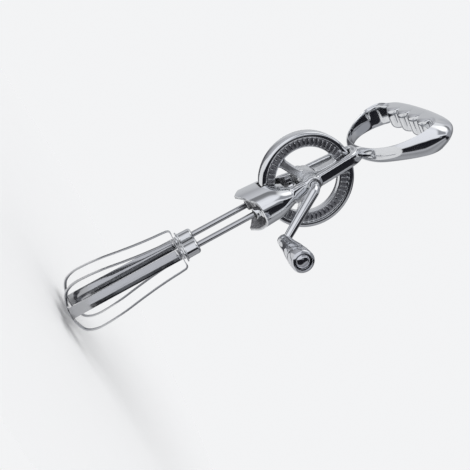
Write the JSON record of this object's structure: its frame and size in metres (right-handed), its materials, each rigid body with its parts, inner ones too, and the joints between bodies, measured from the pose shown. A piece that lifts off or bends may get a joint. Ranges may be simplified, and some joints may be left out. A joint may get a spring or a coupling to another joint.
{
  "type": "rotary egg beater",
  "caption": "Hand cranked rotary egg beater: stirrup grip, crown gear wheel, crank with knob, hood over the pinions, two counter-turning heads of crossed ribbon loops.",
  "frame": {"origin": "centre of the grip bar, where the hand holds it", "axes": "+Z along the shafts from the beater heads towards the grip; Y is the wheel's axle, with the crank at -Y; X lies across the grip loop"},
  "size_m": [0.072, 0.1316, 0.301],
  "materials": {
    "frame_chrome": "bright chrome plate on a smooth casting, rough as cast inside the hood",
    "wheel_chrome": "bright chrome plate, slightly duller between the teeth",
    "crank_chrome": "bright chrome plate on a bent rod",
    "knob_chrome": "bright chrome plate, turned",
    "blade_steel": "polished stainless strip with fine lengthwise lines",
    "shaft_steel": "bright drawn stainless rod",
    "steel_pins": "plain turned steel",
    "pinion_nylon": "dark moulded nylon, slightly worn on the tooth flanks",
    "bush_nylon": "dark moulded nylon"
  },
  "bodies": {
    "frame": {"handle_frame": "frame_chrome", "lower_bracket": "blade_steel", "front_axle_bush": "steel_pins", "front_upper_bush": "bush_nylon", "front_lower_bush": "bush_nylon", "rear_axle_bush": "steel_pins", "rear_upper_bush": "bush_nylon", "rear_lower_bush": "bush_nylon"},
    "wheel": {"gear_wheel": "wheel_chrome", "crank_rod": "crank_chrome", "knob_spindle": "knob_chrome", "wheel_pin": "steel_pins", "axle_end_washer": "steel_pins", "axle_end_cap": "crank_chrome", "front_hub_washer": "steel_pins", "rear_hub_washer": "steel_pins"},
    "knob": {"crank_knob": "knob_chrome"},
    "beater_front": {"front_shaft": "shaft_steel", "front_pinion": "pinion_nylon", "front_pinion_pin": "steel_pins", "front_pinion_washer": "steel_pins", "front_head_washer": "steel_pins", "front_outer_ribbon": "blade_steel", "front_inner_ribbon": "blade_steel", "front_head_nut": "steel_pins", "front_tip_rivet": "steel_pins"},
    "beater_rear": {"rear_shaft": "shaft_steel", "rear_pinion": "pinion_nylon", "rear_pinion_pin": "steel_pins", "rear_pinion_washer": "steel_pins", "rear_head_washer": "steel_pins", "rear_outer_ribbon": "blade_steel", "rear_inner_ribbon": "blade_steel", "rear_head_nut": "steel_pins", "rear_tip_rivet": "steel_pins"}
  },
  "joints": [
    {"name": "wheel_spin", "type": "hinge", "parent": "frame", "child": "wheel", "pos_m": [0, 0, -0.0975], "axis": [0, 1, 0], "continuous": true},
    {"name": "knob_spin", "type": "hinge", "parent": "wheel", "child": "knob", "pos_m": [0.01943, 0, -0.13664], "axis": [0, 1, 0], "continuous": true},
    {"name": "beater_front_spin", "type": "hinge", "parent": "frame", "child": "beater_front", "pos_m": [0, -0.01171, -0.1975], "axis": [0, 0, 1], "continuous": true},
    {"name": "beater_rear_spin", "type": "hinge", "parent": "frame", "child": "beater_rear", "pos_m": [0, 0.01171, -0.1975], "axis": [0, 0, 1], "continuous": true}
  ],
  "couplings": [
    {"joint": "beater_front_spin", "follows": "wheel_spin", "ratio": 4},
    {"joint": "beater_rear_spin", "follows": "wheel_spin", "ratio": -4}
  ]
}
